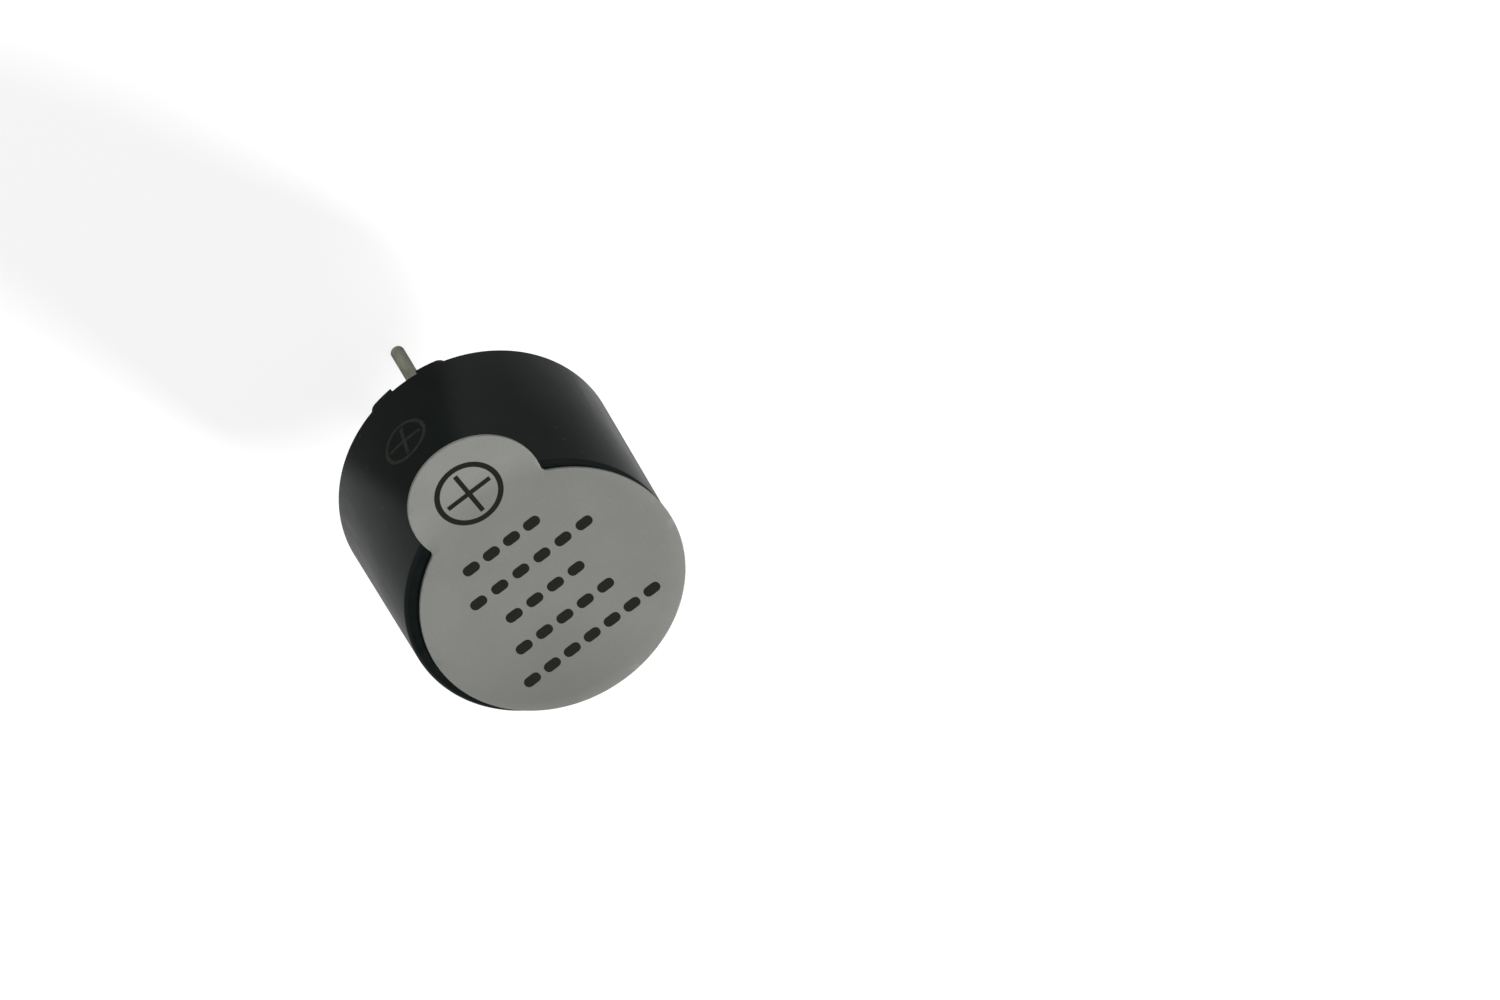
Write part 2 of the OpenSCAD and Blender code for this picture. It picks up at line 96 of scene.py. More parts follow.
def tidy_shading(piece, crease=35):
    """Closes seams, turns every face outwards and shades smooth between creases"""
    seam = 0.0005 * MM
    shortest_edge = 0.0002 * MM
    work = bmesh.new()
    work.from_mesh(piece.data)
    bmesh.ops.remove_doubles(work, verts=work.verts, dist=seam)
    bmesh.ops.dissolve_degenerate(work, edges=work.edges, dist=shortest_edge)
    bmesh.ops.recalc_face_normals(work, faces=work.faces)
    work.to_mesh(piece.data)
    work.free()
    piece.data.shade_smooth()
    piece.data.set_sharp_from_angle(angle=math.radians(crease))
    return piece


def add(tree, kind, wiring=None, **settings):
    """Adds a node. wiring gives its inputs, by name or number, a value or another node's socket"""
    new = tree.nodes.new(kind)
    for key, value in settings.items():
        setattr(new, key, value)
    for key, value in (wiring or {}).items():
        if isinstance(value, bpy.types.NodeSocket):
            tree.links.new(value, new.inputs[key])
        else:
            new.inputs[key].default_value = value
    return new


def geometry_tree(name, inputs):
    """A Geometry Nodes tree with those named inputs, given as name and socket type"""
    tree = bpy.data.node_groups.new(name, "GeometryNodeTree")
    tree.interface.new_socket("Geometry", in_out="INPUT", socket_type="NodeSocketGeometry")
    for label, kind in inputs + [("Finish", "NodeSocketMaterial")]:
        tree.interface.new_socket(label, in_out="INPUT", socket_type=kind)
    tree.interface.new_socket("Geometry", in_out="OUTPUT", socket_type="NodeSocketGeometry")
    return tree, add(tree, "NodeGroupInput").outputs


def close_tree(tree, made, given):
    """Ends a tree as plain geometry in its finish"""
    real = add(tree, "GeometryNodeRealizeInstances", {"Geometry": made})
    coated = add(tree, "GeometryNodeSetMaterial", {
        "Geometry": real.outputs[0], "Material": given["Finish"]})
    add(tree, "NodeGroupOutput", {0: coated.outputs[0]})


def run_tree(piece, tree, values):
    """Runs a tree on a piece with those values, and keeps the result as a plain mesh"""
    step = piece.modifiers.new(tree.name, "NODES")
    step.node_group = tree
    for socket in tree.interface.items_tree:
        if socket.in_out == "INPUT" and socket.name in values:
            step[socket.identifier] = values[socket.name]
    return set_mesh(piece)


# A profile of edges in the XZ plane is turned about Z, as on a lathe
turning, given = geometry_tree("Turned shape", [("Segments", "NodeSocketInt")])
rail_r = MM
profile = add(turning, "GeometryNodeMeshToCurve", {0: given["Geometry"]})
flat = add(turning, "GeometryNodeTransform", {
    "Geometry": profile.outputs[0], "Translation": (-rail_r, 0, 0), "Rotation": (math.pi / 2, 0, 0)})
rail = add(turning, "GeometryNodeCurvePrimitiveCircle", {
    "Resolution": given["Segments"], "Radius": rail_r})
turned = add(turning, "GeometryNodeCurveToMesh", {
    "Curve": rail.outputs["Curve"], "Profile Curve": flat.outputs["Geometry"]})
close_tree(turning, turned.outputs["Mesh"], given)


def turn(name, points, finish, segments=256):
    """Turns a closed profile of (radius, height) points"""
    edges = [(i, (i + 1) % len(points)) for i in range(len(points))]
    mesh = bpy.data.meshes.new(name)
    mesh.from_pydata([(x * MM, 0, z * MM) for x, z in points], edges, [])
    return run_tree(keep(name, mesh), turning, {"Segments": segments, "Finish": finish})


def prism(name, outline, low, high, low_edge=0.0, high_edge=0.0):
    """A closed upright prism on an outline, with its lower and upper edges rounded"""
    count = len(outline)
    work = bmesh.new()
    base = [work.verts.new((x, y, low)) for x, y in outline]
    top = [work.verts.new((x, y, high)) for x, y in outline]
    under = work.faces.new(base[::-1])
    over = work.faces.new(top)
    for i in range(count):
        j = (i + 1) % count
        work.faces.new((base[i], base[j], top[j], top[i]))
    bmesh.ops.recalc_face_normals(work, faces=work.faces)
    for end, edge in ((under, low_edge), (over, high_edge)):
        if edge:
            bmesh.ops.bevel(work, geom=list(end.edges), offset=edge, segments=3, profile=0.5,
                            affect="EDGES")
    bmesh.ops.triangulate(work, faces=work.faces)
    bmesh.ops.scale(work, vec=(MM, MM, MM), verts=work.verts)
    mesh = bpy.data.meshes.new(name)
    work.to_mesh(mesh)
    work.free()
    return keep(name, mesh)


def combine(piece, tools, operation):
    """Joins tools to a piece, or cuts them out of it, and drops them"""
    for tool in tools:
        step = piece.modifiers.new(operation, "BOOLEAN")
        step.solver = "MANIFOLD"
        step.operation = operation
        step.object = tool
    set_mesh(piece)
    for tool in tools:
        bpy.data.objects.remove(tool)
    return piece


def ring_part(r_in, r_out, start, end, round_start, round_end):
    """Outline of a stretch of a flat ring from start to end degrees, with round or straight ends"""
    half = (r_out - r_in) / 2
    mid_r = (r_out + r_in) / 2
    inset = math.degrees(half / mid_r)
    first = start + inset * round_start
    last = end - inset * round_end
    steps = max(4, round((last - first) / 2))
    outline = arc(0, 0, r_out, first, last, steps)
    if round_end:
        a = math.radians(last)
        outline += arc(mid_r * math.cos(a), mid_r * math.sin(a), half, last, last + 180, 12)[1:-1]
    outline += arc(0, 0, r_in, last, first, steps)
    if round_start:
        a = math.radians(first)
        outline += arc(mid_r * math.cos(a), mid_r * math.sin(a), half, first + 180, first + 360, 12)[1:-1]
    return outline


def new_finish(name, metallic=0.0, specular=0.5):
    """Opens a finish. Gives it, its tree, its surface shader and the place on the piece in mm"""
    finish = bpy.data.materials.new(name)
    finish.use_nodes = True
    tree = finish.node_tree
    shader = tree.nodes["Principled BSDF"]
    shader.inputs["Metallic"].default_value = metallic
    shader.inputs["Specular IOR Level"].default_value = specular
    here = add(tree, "ShaderNodeTexCoord").outputs["Object"]
    scale = add(tree, "ShaderNodeMapping", {"Vector": here, "Scale": (1000, 1000, 1000)})
    return finish, tree, shader, scale.outputs[0]


def grain(tree, place, size, detail=3.0, stretch=(1, 1, 1)):
    """Random grain with spots of that size in mm, drawn out by stretch"""
    squeezed = tuple(1 / (size * s) for s in stretch)
    spots = add(tree, "ShaderNodeMapping", {"Vector": place, "Scale": squeezed})
    return add(tree, "ShaderNodeTexNoise", {
        "Vector": spots.outputs[0], "Scale": 1.0, "Detail": detail}).outputs["Fac"]


def spread(tree, value, low, high, start=0.35, end=0.65):
    """Carries a pattern's range start to end over to low to high"""
    return add(tree, "ShaderNodeMapRange", {
        "Value": value, "From Min": start, "From Max": end, "To Min": low, "To Max": high}).outputs[0]


def blend(tree, value, first, second):
    """Mixes two colours, or colour sockets, by a value"""
    colours = [c if isinstance(c, bpy.types.NodeSocket) else (*c, 1) for c in (first, second)]
    mix = add(tree, "ShaderNodeMix", {0: value, 6: colours[0], 7: colours[1]}, data_type="RGBA")
    return mix.outputs[2]


def sums(tree, kind, *values):
    """A Math node's result"""
    return add(tree, "ShaderNodeMath", dict(enumerate(values)), operation=kind).outputs[0]


def stroke_along(tree, distance, half_width):
    """1 within half_width of where distance is nought, with soft edges"""
    away = sums(tree, "ABSOLUTE", distance)
    return spread(tree, away, 1, 0, half_width * 0.7, half_width * 1.3)


def relief(tree, shader, *layers):
    """Stacks bumps of (height, depth in mm) on the shader's normal"""
    below = None
    for height, depth in layers:
        wiring = {"Height": height, "Distance": depth * MM, "Strength": 1.0}
        if below:
            wiring["Normal"] = below
        below = add(tree, "ShaderNodeBump", wiring).outputs[0]
    tree.links.new(below, shader.inputs["Normal"])


def coat(node, finish):
    """Gives a carried-over node its finish"""
    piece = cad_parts[node]
    piece.data.materials.clear()
    piece.data.materials.append(finish)


# Black polyester: satin, a little uneven in gloss, with a few dust specks and a laser-etched plus
mark_dir = math.radians(15)
mark_z = 3.6
mark_r = 1.02
mark_half = 0.08
mark_arm = 0.826
mark_soft = 0.03
mark_tilt = math.radians(-9)
mark_grey = (0.033, 0.036, 0.028)
wall_from_r = 5.7
deep_black = (0.0026, 0.0045, 0.0042)
thin_black = (0.0042, 0.0066, 0.0062)
dust_grey = (0.09, 0.09, 0.085)
case_finish, tree, shader, place = new_finish("black_polyester", specular=0.28)
soft = grain(tree, place, 1.6, 2.0)
fine = grain(tree, place, 0.09, 4.0)
flow = grain(tree, place, 0.5, 3.0, (1, 1, 5))
specks = add(tree, "ShaderNodeTexVoronoi", {"Vector": place, "Scale": 1.1}).outputs["Distance"]
dust = spread(tree, specks, 1.0, 0.0, 0.04, 0.06)
xyz = add(tree, "ShaderNodeSeparateXYZ", {"Vector": place}).outputs
wall_dir = sums(tree, "ARCTAN2", xyz["Y"], xyz["X"])
across = sums(tree, "MULTIPLY", sums(tree, "SUBTRACT", wall_dir, mark_dir), case_r)
up = sums(tree, "SUBTRACT", xyz["Z"], mark_z)
rolled_out = add(tree, "ShaderNodeCombineXYZ", {"X": across, "Y": up}).outputs[0]
mark = add(tree, "ShaderNodeMapping", {"Vector": rolled_out, "Rotation": (0, 0, -mark_tilt)}).outputs[0]
from_mark = add(tree, "ShaderNodeVectorMath", {0: mark}, operation="LENGTH").outputs["Value"]
arms = add(tree, "ShaderNodeSeparateXYZ", {"Vector": mark}).outputs
bars = sums(tree, "MAXIMUM", *[stroke_along(tree, arms[axis], mark_half) for axis in ("X", "Y")])
inside = spread(tree, from_mark, 1, 0, mark_arm - mark_soft, mark_arm + mark_soft)
hoop = stroke_along(tree, sums(tree, "SUBTRACT", from_mark, mark_r), mark_half)
etched = sums(tree, "MAXIMUM", hoop, sums(tree, "MULTIPLY", bars, inside))
flat_place = add(tree, "ShaderNodeVectorMath", {0: place, 1: (1, 1, 0)}, operation="MULTIPLY").outputs[0]
from_axis = add(tree, "ShaderNodeVectorMath", {0: flat_place}, operation="LENGTH").outputs["Value"]
etched = sums(tree, "MULTIPLY", etched, sums(tree, "GREATER_THAN", from_axis, wall_from_r))
etched = sums(tree, "MULTIPLY", etched, spread(tree, grain(tree, place, 0.12, 2.0), 0.45, 1.0))
plain = blend(tree, spread(tree, soft, 0, 1), deep_black, thin_black)
dusty = blend(tree, sums(tree, "MULTIPLY", dust, 0.5), plain, dust_grey)
marked = blend(tree, etched, dusty, mark_grey)
tree.links.new(marked, shader.inputs["Base Color"])
gloss = sums(tree, "ADD", spread(tree, flow, 0.17, 0.24), sums(tree, "MULTIPLY", etched, 0.3))
tree.links.new(gloss, shader.inputs["Roughness"])
relief(tree, shader, (soft, 0.004), (fine, 0.0005), (etched, 0.003))
shader.inputs["Specular Tint"].default_value = (0.85, 1, 0.97, 1)
shader.inputs["Sheen Weight"].default_value = 0.06
shader.inputs["Sheen Roughness"].default_value = 0.25

case_top_r = case_r - (case_h - rim_z) * math.tan(math.radians(draft))
outer = arc(case_r - rim_edge_r, rim_z + rim_edge_r, rim_edge_r, -90, -draft, 5)
outer += arc(case_top_r - front_edge_r, case_h - front_edge_r, front_edge_r, draft, 90, 12)
inner = [(outlet_r + outlet_edge, case_h), (outlet_r, case_h - outlet_edge), (outlet_r, chamber_top_z)]
inner += arc(chamber_r - chamber_edge_r, chamber_top_z - chamber_edge_r, chamber_edge_r, 90, 0, 6)
inner += [(chamber_r, step_z), (bore_r, step_z)]
inner += arc(bore_r + rim_edge_r, rim_z + rim_edge_r, rim_edge_r, 180, 270, 5)
case = turn("case_moulding", outer + inner, case_finish)

# Each foot's first and last direction in degrees, and whether each end is round
tops = [(97, 133, 1, 1), (217, 253, 1, 1), (-16.5, -3, 1, 0), (9, 22.5, 0, 1)]
roots = [(98.5, 131.5, 1, 1), (218.5, 251.5, 1, 1), (-15, 21, 1, 1)]
feet = [prism("foot", ring_part(foot_in_r, foot_out_r, *t), 0, foot_top_z, foot_edge_r) for t in tops]
feet += [prism("root", ring_part(root_in_r, root_out_r, *t), root_low_z, root_top_z) for t in roots]
tidy_shading(combine(case, feet, "UNION"))
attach(case, "root")
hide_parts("case")

# Sounder: diaphragm with its weight, support ring, magnet, yoke and core
# A spring-iron disc with a weight welded on it lies on a turned alloy ring. A ferrite ring magnet
# round the coil pulls it down. The magnet and the riveted core stand on a stamped iron yoke.


def metal(name, dark, light, rough, mark_size, stretch, depth, blotch=1.2):
    """A metal with fine tool marks drawn out by stretch and slow changes of tone"""
    finish, tree, shader, place = new_finish(name, metallic=1.0)
    lines = grain(tree, place, mark_size, 5.0, stretch)
    tone = grain(tree, place, blotch, 3.0)
    both = sums(tree, "MULTIPLY", sums(tree, "ADD", lines, tone), 0.5)
    tree.links.new(blend(tree, spread(tree, both, 0, 1, 0.4, 0.6), dark, light), shader.inputs["Base Color"])
    gloss = sums(tree, "ADD", spread(tree, lines, *rough), spread(tree, tone, -0.03, 0.03))
    tree.links.new(gloss, shader.inputs["Roughness"])
    relief(tree, shader, (tone, depth * 3), (lines, depth))
    return finish


def dull(name, dark, light, rough, spot, depth, detail=5.0, blotch=0.8, specular=0.5):
    """A moulded, pressed or printed stuff with fine grain, uneven tone and gloss"""
    finish, tree, shader, place = new_finish(name, specular=specular)
    fine = grain(tree, place, spot, detail)
    tone = grain(tree, place, blotch, 3.0)
    both = sums(tree, "MULTIPLY", sums(tree, "ADD", fine, tone), 0.5)
    tree.links.new(blend(tree, spread(tree, both, 0, 1, 0.4, 0.6), dark, light), shader.inputs["Base Color"])
    tree.links.new(spread(tree, fine, *rough), shader.inputs["Roughness"])
    relief(tree, shader, (tone, depth * 2), (fine, depth))
    return finish


coat("diaphragm", metal(
    "spring_iron_sheet", (0.36, 0.37, 0.39), (0.48, 0.49, 0.51), (0.22, 0.34), 0.05, (40, 1, 1), 0.0008))
coat("diaphragm_weight", metal(
    "stamped_weight_iron", (0.27, 0.27, 0.28), (0.36, 0.37, 0.38), (0.3, 0.45), 0.06, (1, 1, 1), 0.0015, 0.5))
coat("support_ring", metal(
    "turned_alloy", (0.45, 0.46, 0.47), (0.56, 0.57, 0.58), (0.25, 0.38), 0.05, (1, 1, 0.25), 0.001))
coat("magnet_ring", dull(
    "pressed_ferrite", (0.022, 0.022, 0.024), (0.04, 0.04, 0.043), (0.5, 0.75), 0.06, 0.004, 6.0, 0.9))
coat("yoke_plate", metal(
    "zinc_plated_iron", (0.33, 0.33, 0.31), (0.44, 0.44, 0.4), (0.28, 0.42), 0.07, (25, 1, 1), 0.0012))
coat("pole_core", metal(
    "cold_headed_iron", (0.32, 0.32, 0.31), (0.43, 0.43, 0.42), (0.25, 0.4), 0.05, (1, 1, 30), 0.001, 0.6))

# Coil: insulating sleeve and washer, drive winding and feedback winding
# Enamelled copper wire is wound in layers on a polyester sleeve over the core. The outer winding
# drives the transistor. Each winding's two ends lie on top, turn down and pass through the board.
coat("core_sleeve", dull(
    "amber_polyester_film", (0.42, 0.3, 0.1), (0.55, 0.42, 0.17), (0.2, 0.3), 0.2, 0.001, 3.0, 0.6))
coat("coil_washer", dull(
    "pressed_paper", (0.5, 0.43, 0.31), (0.66, 0.58, 0.44), (0.75, 0.95), 0.05, 0.004, 6.0, 0.4, 0.25))


def enamel(name, dark, light):
    """Enamelled copper: metal under clear lacquer, with tone changes along the wire"""
    finish = metal(name, dark, light, (0.2, 0.32), 0.1, (1, 1, 1), 0.0008, 0.7)
    shader = finish.node_tree.nodes["Principled BSDF"]
    shader.inputs["Coat Weight"].default_value = 0.6
    shader.inputs["Coat Roughness"].default_value = 0.12
    return finish


wire_d = 0.12
coil_z = 4.15
lead_circle_r = 3.08
lead_end_z = 2.165

winding, given = geometry_tree("Wound wire", [
    ("Inner radius", "NodeSocketFloat"), ("Bottom", "NodeSocketFloat"), ("Wire", "NodeSocketFloat"),
    ("Layers", "NodeSocketInt"), ("Turns a layer", "NodeSocketInt"), ("Steps a turn", "NodeSocketInt")])
wire_height = sums(winding, "MULTIPLY", given["Turns a layer"], given["Wire"])
helix = add(winding, "GeometryNodeCurveSpiral", {
    "Resolution": given["Steps a turn"], "Rotations": given["Turns a layer"], "Start Radius": 1.0,
    "End Radius": 1.0, "Height": wire_height})
half_wire = sums(winding, "MULTIPLY", given["Wire"], 0.5)
start = add(winding, "ShaderNodeCombineXYZ", {"Z": sums(winding, "ADD", given["Bottom"], half_wire)})
layers = add(winding, "GeometryNodeMeshLine", {
    "Count": given["Layers"], "Start Location": start.outputs[0], "Offset": (0, 0, 0)})
layer = sums(winding, "ADD", add(winding, "GeometryNodeInputIndex").outputs[0], 0.5)
layer_r = sums(winding, "MULTIPLY_ADD", layer, given["Wire"], given["Inner radius"])
layer_size = add(winding, "ShaderNodeCombineXYZ", {"X": layer_r, "Y": layer_r, "Z": 1.0})
placed = add(winding, "GeometryNodeInstanceOnPoints", {
    "Points": layers.outputs[0], "Instance": helix.outputs[0], "Scale": layer_size.outputs[0]})
loose = add(winding, "GeometryNodeRealizeInstances", {"Geometry": placed.outputs[0]})
ends = add(winding, "GeometryNodeMeshToCurve", {0: given["Geometry"]})
all_wire = add(winding, "GeometryNodeJoinGeometry", {0: loose.outputs[0]})
winding.links.new(ends.outputs[0], all_wire.inputs[0])
section = add(winding, "GeometryNodeCurvePrimitiveCircle", {"Resolution": 6, "Radius": half_wire})
drawn = add(winding, "GeometryNodeCurveToMesh", {
    "Curve": all_wire.outputs[0], "Profile Curve": section.outputs["Curve"], "Fill Caps": True})
close_tree(winding, drawn.outputs["Mesh"], given)


def wind(name, node, finish, inner_r, bottom_z, layer_count, turn_count, lead_dirs, lead_r, lead_z):
    """Winds one coil, with a bent lead at each direction in lead_dirs"""
    points = []
    edges = []
    for direction in lead_dirs:
        bend = arc(lead_circle_r - wire_d, lead_z - wire_d, wire_d, 90, 0, 5)
        path = [(lead_r, lead_z)] + bend + [(lead_circle_r, lead_end_z)]
        edges += [(len(points) + i, len(points) + i + 1) for i in range(len(path) - 1)]
        a = math.radians(direction)
        points += [(r * math.cos(a) * MM, r * math.sin(a) * MM, z * MM) for r, z in path]
    mesh = bpy.data.meshes.new(name)
    mesh.from_pydata(points, edges, [])
    piece = run_tree(keep(name, mesh), winding, {
        "Inner radius": inner_r * MM, "Bottom": bottom_z * MM, "Wire": wire_d * MM,
        "Layers": layer_count, "Turns a layer": turn_count, "Steps a turn": 24, "Finish": finish})
    tidy_shading(piece, 60)
    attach(piece, "root")
    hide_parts(node)


wind("drive_turns", "drive_winding",
     enamel("clear_copper_enamel", (0.4, 0.115, 0.036), (0.56, 0.18, 0.065)),
     inner_r=1.21, bottom_z=coil_z, layer_count=8, turn_count=16,
     lead_dirs=(65, 295), lead_r=2.1, lead_z=coil_z + 0.15)
wind("feedback_turns", "feedback_winding",
     enamel("red_copper_enamel", (0.42, 0.07, 0.024), (0.58, 0.12, 0.045)),
     inner_r=2.21, bottom_z=coil_z + 0.3, layer_count=3, turn_count=12,
     lead_dirs=(115, 245), lead_r=2.5, lead_z=coil_z + 0.2)

# Round circuit board with its copper, transistor, chip resistor and solder
# Glass-epoxy laminate under green solder mask, with bare copper tracks on its lower face. The chip
# parts are soldered to the tracks by reflow, the leads and pins by hand, before the resin is poured.
thick_green = (0.022, 0.095, 0.04)
thin_green = (0.035, 0.13, 0.058)
thread_green = (0.07, 0.2, 0.1)
laminate, tree, shader, place = new_finish("masked_glass_epoxy", specular=0.45)
threads = [add(tree, "ShaderNodeTexWave", {"Vector": place, "Scale": 1.1, "Distortion": 0.6, "Detail": 1.0},
               bands_direction=d).outputs["Fac"] for d in ("X", "Y")]
weave = sums(tree, "MULTIPLY", *threads)
mask_tone = blend(tree, spread(tree, grain(tree, place, 1.5), 0, 1), thick_green, thin_green)
tree.links.new(blend(tree, spread(tree, weave, 0, 0.5, 0, 1), mask_tone, thread_green),
               shader.inputs["Base Color"])
tree.links.new(spread(tree, weave, 0.22, 0.36, 0, 1), shader.inputs["Roughness"])
relief(tree, shader, (weave, 0.003), (grain(tree, place, 0.06), 0.001))
coat("circuit_board", laminate)
coat("board_tracks", metal(
    "bare_track_copper", (0.44, 0.2, 0.085), (0.62, 0.32, 0.16), (0.25, 0.42), 0.12, (1, 1, 1), 0.002, 0.5))
coat("transistor_body", dull(
    "black_mould_epoxy", (0.009, 0.009, 0.01), (0.017, 0.017, 0.018), (0.45, 0.62), 0.035, 0.002, 5.0, 0.5))
coat("resistor_body", dull(
    "fired_glass_glaze", (0.008, 0.01, 0.014), (0.016, 0.019, 0.025), (0.12, 0.28), 0.07, 0.0015, 4.0, 0.5))
matte_tin = metal(
    "matte_tin_plate", (0.46, 0.46, 0.45), (0.6, 0.6, 0.59), (0.35, 0.5), 0.04, (1, 1, 1), 0.001, 0.3)
coat("transistor_leads", matte_tin)
coat("resistor_caps", matte_tin)
solder = metal(
    "reflowed_solder", (0.52, 0.53, 0.54), (0.7, 0.71, 0.72), (0.14, 0.3), 0.09, (1, 1, 1), 0.002, 0.25)
for node in ("component_solder", "winding_solder", "positive_pin_solder", "negative_pin_solder"):
    coat(node, solder)

# Pins
# Dull tinned wire, drawn straight and cut to two lengths. Each has a thicker stem inside the resin,
# stands on its pad by that stem's shoulder, and is soldered into a plated hole.
pin_r = 0.3
stem_r = 0.5
stem_low_z = 0.439
stem_high_z = 2.315
pin_top_z = 3.1
tip_edge_r = 0.08
dull_tin = (0.3, 0.305, 0.235)
bright_tin = (0.54, 0.55, 0.44)
wire_finish, tree, shader, place = new_finish("dull_tinned_wire", metallic=0.45)
drawn_lines = grain(tree, place, 0.035, 4.0, (1, 1, 40))
dull_spots = grain(tree, place, 0.3, 4.0, (1, 1, 3))
both = sums(tree, "MULTIPLY", sums(tree, "ADD", drawn_lines, dull_spots), 0.5)
tree.links.new(blend(tree, spread(tree, both, 0, 1, 0.38, 0.62), dull_tin, bright_tin),
               shader.inputs["Base Color"])
tree.links.new(spread(tree, dull_spots, 0.32, 0.52), shader.inputs["Roughness"])
relief(tree, shader, (drawn_lines, 0.002), (dull_spots, 0.003))

cut_end, tree, shader, place = new_finish("cut_wire_end", metallic=0.45)
shear_lines = grain(tree, place, 0.05, 4.0, (1, 8, 1))
tree.links.new(blend(tree, spread(tree, shear_lines, 0, 1), (0.44, 0.42, 0.45), (0.62, 0.6, 0.64)),
               shader.inputs["Base Color"])
tree.links.new(spread(tree, shear_lines, 0.3, 0.5), shader.inputs["Roughness"])
relief(tree, shader, (shear_lines, 0.004))


def make_pin(node):
    """One pin, its length taken from its node, with the cut end in its own finish"""
    low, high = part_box(node)
    tip_z = low.z / MM
    points = [(0, tip_z)] + arc(pin_r - tip_edge_r, tip_z + tip_edge_r, tip_edge_r, -90, 0, 5)
    points += [(pin_r, stem_low_z), (stem_r, stem_low_z), (stem_r, stem_high_z), (pin_r, stem_high_z)]
    piece = turn(node + "_wire", points + [(pin_r, pin_top_z), (0, pin_top_z)], wire_finish, 64)
    piece.data.transform(Matrix.Translation(((low.x + high.x) / 2, 0, 0)))
    tidy_shading(piece)
    piece.data.materials.append(cut_end)
    for face in piece.data.polygons:
        face.material_index = int(face.center.z / MM < tip_z + tip_edge_r)
    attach(piece, "root")
    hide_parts(node)
    return piece


pins = [make_pin(node) for node in ("positive_pin", "negative_pin")]
pin_x = sum(corner.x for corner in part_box("positive_pin")) / 2 / MM

# Potting resin
# Black epoxy poured in over the board with the buzzer on its face. It wets the wall, the feet and
# the pins and climbs them, and its skin sets with slow waves, a few pits and a high gloss.
resin_z = 0.5
wall_climb = 0.22
wall_reach = 0.7
pin_climb = 0.3
pin_reach = 0.75
pin_dip = 0.05
dip_reach = 0.9
dip_width = 0.35
wave_height = 0.08
slow_waves = 0.42
quick_waves = 1.3
calm_reach = 0.8
foot_reach = 3
resin, tree, shader, place = new_finish("glossy_black_epoxy")
pool = grain(tree, place, 2.2, 2.0)
ripple = grain(tree, place, 0.35, 3.0)
pits = add(tree, "ShaderNodeTexVoronoi", {"Vector": place, "Scale": 2.1}).outputs["Distance"]
pit = spread(tree, pits, 1, 0, 0.03, 0.09)
deep_resin = (0.0045, 0.005, 0.005)
thin_resin = (0.009, 0.0095, 0.0095)
tree.links.new(blend(tree, spread(tree, pool, 0, 1), deep_resin, thin_resin), shader.inputs["Base Color"])
tree.links.new(sums(tree, "ADD", spread(tree, ripple, 0.09, 0.17), sums(tree, "MULTIPLY", pit, 0.3)),
               shader.inputs["Roughness"])
relief(tree, shader, (pool, 0.02), (ripple, 0.004), (sums(tree, "SUBTRACT", 1.0, pit), 0.01))


def climb(distance, reach, rise):
    """How far resin climbs at a distance from a wall it wets"""
    return rise * max(0.0, 1 - max(distance, 0.0) / reach) ** 2


def near_foot(x, y):
    """1 beside a foot's root and 0 elsewhere, with soft ends"""
    direction = math.degrees(math.atan2(y, x))
    most = 0.0
    for start, end, *_ in roots:
        middle = (start + end) / 2
        off = abs((direction - middle + 180) % 360 - 180) - (end - start) / 2
        most = max(most, min(1.0, max(0.0, 1 - off / foot_reach)))
    return most


def resin_skin(x, y):
    """Height of the resin's free surface"""
    r = math.hypot(x, y)
    wall_r = bore_r - (bore_r - root_in_r) * near_foot(x, y)
    from_pin = max(0.0, math.hypot(abs(x) - pin_x, y) - pin_r)
    lift = max(climb(wall_r - r, wall_reach, wall_climb), climb(from_pin, pin_reach, pin_climb))
    slow = noise.noise(Vector((x * slow_waves, y * slow_waves, 3.0))) * wave_height
    quick = noise.noise(Vector((x * quick_waves, y * quick_waves, 8.0))) * wave_height / 5
    dip = pin_dip * math.exp(-((from_pin - dip_reach) / dip_width) ** 2)
    calm = min(1.0, max(0.0, bore_r - r) / calm_reach, from_pin / calm_reach)
    return resin_z - lift + (slow + quick + dip) * calm


rings = 64
ring_steps = 256
smallest_ring = 0.02
skin_r = bore_r + 0.015
back_z = 2.4
work = bmesh.new()
rows = []
for ring in range(rings + 1):
    r = skin_r * max(ring, smallest_ring) / rings
    circle = arc(0, 0, r, 0, 360, ring_steps)[:-1]
    rows.append([work.verts.new((x * MM, y * MM, resin_skin(x, y) * MM)) for x, y in circle])
rim = [work.verts.new((v.co.x, v.co.y, back_z * MM)) for v in rows[-1]]
rows.append(rim)
for inner_row, outer_row in zip(rows, rows[1:]):
    for i in range(ring_steps):
        j = (i + 1) % ring_steps
        work.faces.new((inner_row[i], inner_row[j], outer_row[j], outer_row[i]))
work.faces.new(rows[0])
work.faces.new(rim)
bmesh.ops.recalc_face_normals(work, faces=work.faces)
bmesh.ops.triangulate(work, faces=work.faces)
mesh = bpy.data.meshes.new("potting_skin")
work.to_mesh(mesh)
work.free()
mesh.materials.append(resin)
potting = keep("potting_skin", mesh)


def closed_copy(piece):
    """A joined-up copy of a piece, to cut its place in the resin"""
    work = bmesh.new()
    work.from_mesh(piece.data)
    bmesh.ops.remove_doubles(work, verts=work.verts, dist=0.0002 * MM)
    mesh = bpy.data.meshes.new("cutter")
    work.to_mesh(mesh)
    work.free()
    return keep("cutter", mesh)


